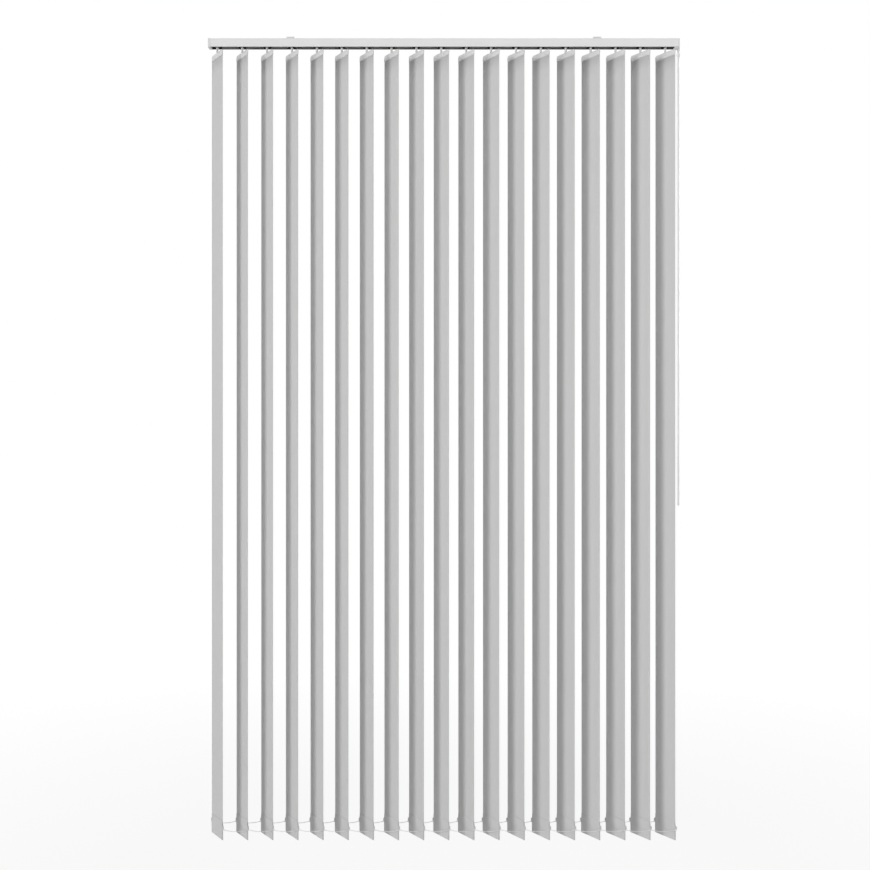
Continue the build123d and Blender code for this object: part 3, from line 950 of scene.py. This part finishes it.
# %% Wand grip and collars
GRIP_LOW, GRIP_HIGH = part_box("wand_grip")
WAND_AXIS = ((GRIP_LOW.x + GRIP_HIGH.x) / 2, (GRIP_LOW.y + GRIP_HIGH.y) / 2)
COLLAR_RADIUS = (GRIP_HIGH.x - GRIP_LOW.x) / 2
COLLAR_STEP = 0.4 * MM
GRIP_RADIUS = COLLAR_RADIUS - COLLAR_STEP
COLLAR_HEIGHT = 5 * MM
ROD_COLLAR_HEIGHT = 9 * MM
TURNED_EDGE = 0.3 * MM
YOKE_GAP = 0.3 * MM
ROD_COLLAR_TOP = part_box("wand_yoke")[0].z - YOKE_GAP
GROOVES = 22
GROOVE_DEPTH = 0.35 * MM
GROOVE_HALF = 0.9 * MM
GROOVE_FLOOR_HALF = 0.3 * MM
GRIP_PLAIN = 14 * MM
FOOT_STEPS = 6


def grip_profile():
    """From the top: collar, plain neck, grooves, and a rounded foot."""
    head, neck = GRIP_HIGH.z, GRIP_HIGH.z - COLLAR_HEIGHT
    points = [
        (0, head), (COLLAR_RADIUS - TURNED_EDGE, head), (COLLAR_RADIUS, head - TURNED_EDGE),
        (COLLAR_RADIUS, neck), (GRIP_RADIUS, neck - TURNED_EDGE),
    ]
    top, bottom = GRIP_HIGH.z - GRIP_PLAIN, GRIP_LOW.z + GRIP_PLAIN
    step = (top - bottom) / GROOVES
    for groove in range(GROOVES + 1):
        level = top - groove * step
        points += [
            (GRIP_RADIUS, level + GROOVE_HALF),
            (GRIP_RADIUS - GROOVE_DEPTH, level + GROOVE_FLOOR_HALF),
            (GRIP_RADIUS - GROOVE_DEPTH, level - GROOVE_FLOOR_HALF),
            (GRIP_RADIUS, level - GROOVE_HALF),
        ]
    for foot in range(FOOT_STEPS):
        turn = pi / 2 * foot / FOOT_STEPS
        points.append((GRIP_RADIUS * cos(turn), GRIP_LOW.z + GRIP_RADIUS * (1 - sin(turn))))
    return points + [(0, GRIP_LOW.z)]


def collar_profile(top, height):
    """A short ring with bevelled edges, just proud of the rod."""
    outer, inner, bottom = COLLAR_RADIUS, COLLAR_RADIUS - TURNED_EDGE, top - height
    return [
        (0, top), (inner, top), (outer, top - TURNED_EDGE),
        (outer, bottom + TURNED_EDGE), (inner, bottom), (0, bottom),
    ]


grip = turned("grip_turned", grip_profile(), WAND_AXIS, GRIP_PLASTIC)
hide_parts("wand_grip")
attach(grip, "wand")
rod_collar = collar_profile(ROD_COLLAR_TOP, ROD_COLLAR_HEIGHT)
collar = turned("rod_collar", rod_collar, WAND_AXIS, WAND_PLASTIC)
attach(collar, "wand")
print("grip", len(grip.data.polygons), "faces,", GROOVES + 1, "grooves")

# %% [markdown]
# The other solids keep their shapes from the model and only take their finishes. The
# square tilt rod is drawn aluminium, whose fine lines run along it. A noise texture
# that is stretched far along the rod turns into such lines.

# %% Drawn aluminium
ROD_GREY = 0.7
ROD_TINTS = (0.6, 0.74)
LINE_SCALE = (4, 2500, 2500)
LINE_DEPTH = 0.01 * MM


def rod_metal():
    """Mill-finish metal with draw lines along the rod."""
    mat, tree, surface = shader("rod_metal", ROD_GREY, roughness=0.3, Metallic=1.0)
    stretch = put(tree, "ShaderNodeMapping", {"Vector": object_place(tree), "Scale": LINE_SCALE})
    lines = noise(tree, stretch.outputs[0], 1)
    tree.links.new(tint(tree, lines, *ROD_TINTS), surface.inputs["Base Color"])
    bump(tree, lines, surface, LINE_DEPTH)
    return mat


# %% Finishes on the model's solids
FINISHES = {
    "headrail": RAIL_PAINT,
    "end_cap_left": CAP_PLASTIC,
    "end_cap_right": CAP_PLASTIC,
    "ceiling_clips": CLIP_PLASTIC,
    "tilt_rod": rod_metal(),
    "lead_carrier": LEAD_PLASTIC,
    "drive_sleeve": CARRIER_PLASTIC,
    "swing_link": LINK_PLASTIC,
    "wand_yoke": WAND_PLASTIC,
    "wand_rod": WAND_PLASTIC,
}
dressed = 0
for name, piece in frame["nodes"].items():
    finish = CARRIER_PLASTIC if name.startswith("carrier_") else FINISHES.get(name)
    if finish:
        piece.data.materials.clear()
        piece.data.materials.append(finish)
        dressed += 1
print(dressed, "solids dressed")
